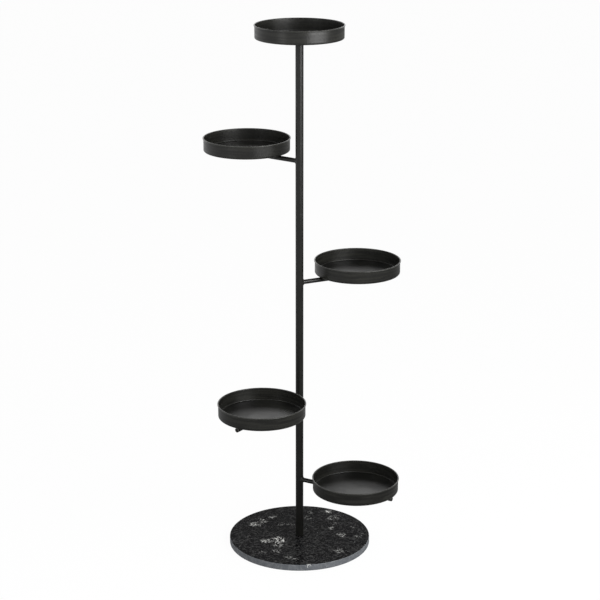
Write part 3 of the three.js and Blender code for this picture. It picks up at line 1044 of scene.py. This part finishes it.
def studio_floor():
    bm = bmesh.new()
    bmesh.ops.create_grid(bm, x_segments=2, y_segments=2, size=FLOOR_REACH)
    shift(bm, 0, 0, -FLOOR_DROP)
    mesh = bpy.data.meshes.new("studio_floor")
    bm.to_mesh(mesh)
    bm.free()
    material, tree, spot = new_finish("white_studio_paper")
    ray = add(tree, "ShaderNodeLightPath").outputs
    in_mirrors = add(
        tree, MATH, {0: ray["Is Glossy Ray"], 1: ray["Is Transmission Ray"]}, operation="MAXIMUM"
    )
    seen = add(tree, MATH, {0: ray["Is Camera Ray"], 1: in_mirrors}, operation="MAXIMUM")
    share = add(tree, MATH, {0: seen, 1: GLOW_SHARE}, operation="MULTIPLY")
    paper = add(tree, "ShaderNodeBsdfDiffuse", {"Color": "#ededed"})
    away = add(tree, VECTOR, {0: spot}, operation="LENGTH").outputs["Value"]
    to_right = add(tree, "ShaderNodeSeparateXYZ", {0: spot}).outputs["X"]
    near = add(tree, RANGE, {"Value": away, **GLOW_OUTWARDS})
    side = add(tree, RANGE, {"Value": to_right, **GLOW_TO_RIGHT})
    mirrored = add(tree, MATH, {0: near, 1: side}, operation="MULTIPLY")
    strength = add(tree, MATH, {0: ray["Is Camera Ray"], 1: mirrored}, operation="MAXIMUM")
    glow = add(tree, "ShaderNodeEmission", {"Color": "#ffffff", "Strength": strength})
    surface = add(tree, "ShaderNodeMixShader", {0: share, 1: paper, 2: glow})
    add(tree, "ShaderNodeOutputMaterial", {"Surface": surface})
    mesh.materials.append(material)
    floor = in_scene("studio_floor", mesh)
    print("floor, metres wide:", round(2 * FLOOR_REACH))


studio_floor()

# %% [markdown]
# ## The lights
# A wide soft light stands at the front right with its lower edge at the height of the middle pans, so that
# its soft reflection is strong on the top pan and fades down the pole. A weak one stands at the front left,
# and a large faint one hangs overhead. The room itself is a pale surround, bright up to 30 degrees and dim
# above 38.

# %% Lights
# azimuth in degrees, distance, height of the lower edge, width and height in metres, and radiance
UPRIGHT_LIGHTS = {
    "front_right": (46, 2.2, 0.85, 1.8, 1.55, 10.5),
    "front_left": (-43, 2.3, 0.8, 0.6, 1.4, 3.0),
}
OVERHEAD = (2.4, 2.0, 0.4, (0.0, 0.2, 3.2), (0, 0, 0))  # width, height, radiance, place and turn
SURROUND = {LOW: 0.5, HIGH: 0.62, TO_LOW: 1.55, TO_HIGH: 0.12}  # sine of the elevation, and strength


def soft_light(name, width, height, radiance, place, turned):
    """A rectangular light. A radiance of 1 is as bright as a white wall in full light."""
    data = bpy.data.lights.new(name, "AREA")
    data.shape = "RECTANGLE"
    data.size, data.size_y = width, height
    data.energy = radiance * pi * width * height
    lamp = in_scene(name, data)
    lamp.location = place
    lamp.rotation_euler = turned
    print(f"{name}: {data.energy:.0f} W")


for name, (azimuth, distance, bottom, width, height, radiance) in UPRIGHT_LIGHTS.items():
    turn = radians(azimuth)
    place = (distance * sin(turn), -distance * cos(turn), bottom + height / 2)
    soft_light(name, width, height, radiance, place, (pi / 2, 0, turn))
soft_light("overhead", *OVERHEAD)

world = bpy.data.worlds.new("studio")
world.use_nodes = True
sky = world.node_tree
sky.nodes.clear()
direction = add(sky, "ShaderNodeTexCoord").outputs["Generated"]
up = add(sky, "ShaderNodeSeparateXYZ", {0: direction}).outputs["Z"]
level = add(sky, RANGE, {"Value": up, **SURROUND}, interpolation_type="SMOOTHSTEP")
background = add(sky, "ShaderNodeBackground", {"Color": "#ffffff", "Strength": level})
add(sky, "ShaderNodeOutputWorld", {"Surface": background})
bpy.context.scene.world = world
